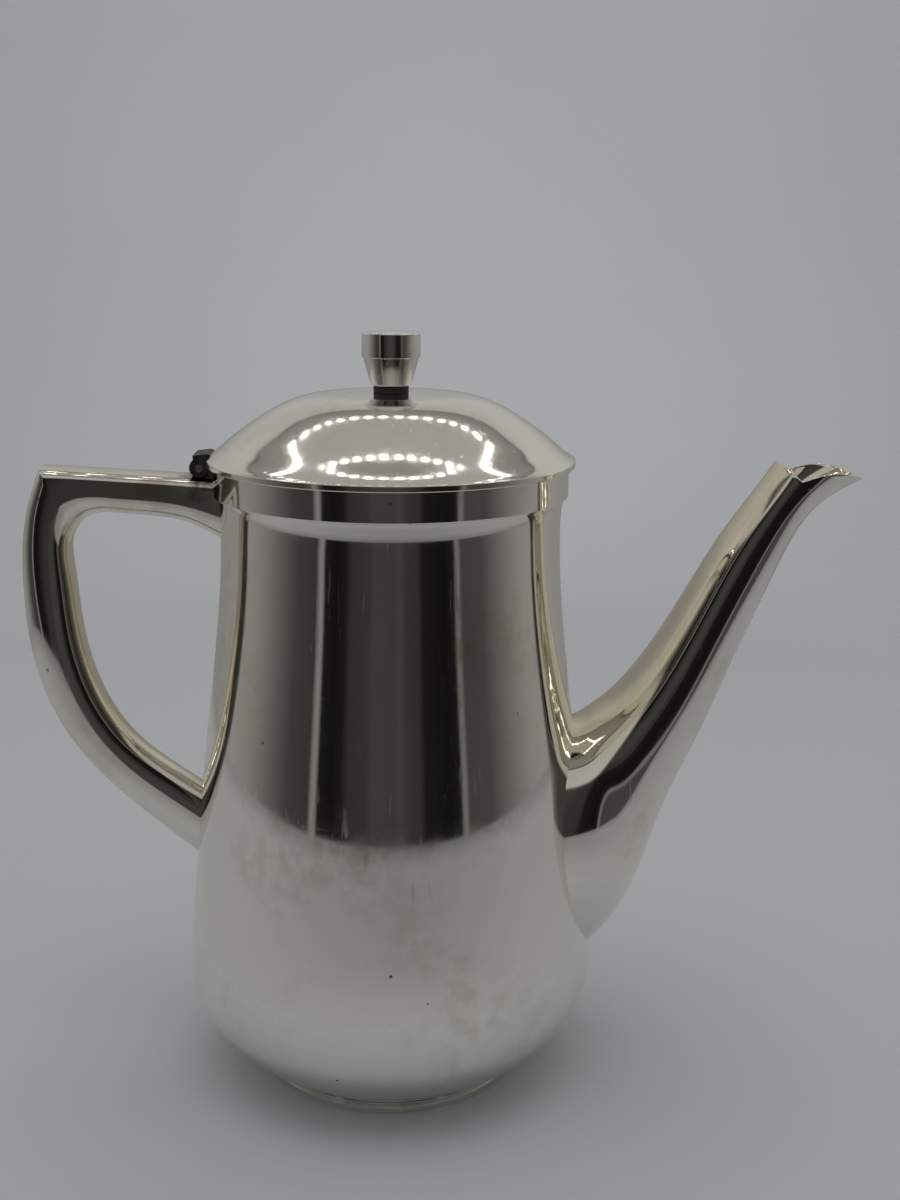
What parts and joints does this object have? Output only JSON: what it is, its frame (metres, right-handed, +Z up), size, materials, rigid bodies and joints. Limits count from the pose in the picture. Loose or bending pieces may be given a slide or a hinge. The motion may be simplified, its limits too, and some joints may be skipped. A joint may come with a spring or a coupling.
{
  "type": "coffee pot",
  "caption": "Tall hinged-lid coffee pot: spun pear-shaped body on a low foot ring, long tapered spout with an open beak, hollow ear handle and a turned knob on a domed lid.",
  "frame": {"origin": "centre of the foot ring's lower face, on the body's axis", "axes": "+Z up along the body's axis, +X towards the spout, -X towards the handle, the lid's hinge pin along Y"},
  "size_m": [0.2129, 0.1074, 0.1945],
  "materials": {
    "silver_body": "polished silver plate with fine scratches and faint cloudy tarnish",
    "silver_lid": "polished silver plate with fine spun scratches",
    "silver_spout": "polished silver plate, yellowish tarnish along the upper edge",
    "silver_handle": "polished silver plate, yellow-brown tarnish on the grip side",
    "silver_trim": "polished silver plate",
    "silver_knob": "turned and polished silver plate",
    "tarnished_hinge": "silver plate gone nearly black with tarnish",
    "dark_washer": "dark fibre",
    "steel_fastener": "dull steel"
  },
  "bodies": {
    "pot": {"body_shell": "silver_body", "foot_ring": "silver_trim", "neck_band": "silver_trim", "spout_near_half": "silver_spout", "spout_far_half": "silver_spout", "handle_near_half": "silver_handle", "handle_far_half": "silver_handle", "hinge_pot_block": "tarnished_hinge", "hinge_pot_knuckle": "tarnished_hinge"},
    "lid": {"lid_shell": "silver_lid", "lid_bezel": "silver_trim", "hinge_lid_leaf": "tarnished_hinge", "hinge_lid_knuckle_near": "tarnished_hinge", "hinge_lid_knuckle_far": "tarnished_hinge", "hinge_pin": "tarnished_hinge", "knob_washer": "dark_washer", "knob_body": "silver_knob", "knob_stud": "steel_fastener", "knob_backing_washer": "steel_fastener", "knob_nut": "steel_fastener"}
  },
  "joints": [
    {"name": "lid_hinge", "type": "hinge", "parent": "pot", "child": "lid", "pos_m": [-0.0476, 0, 0.1609], "axis": [0, -1, 0], "range_deg": [0, 95]}
  ]
}
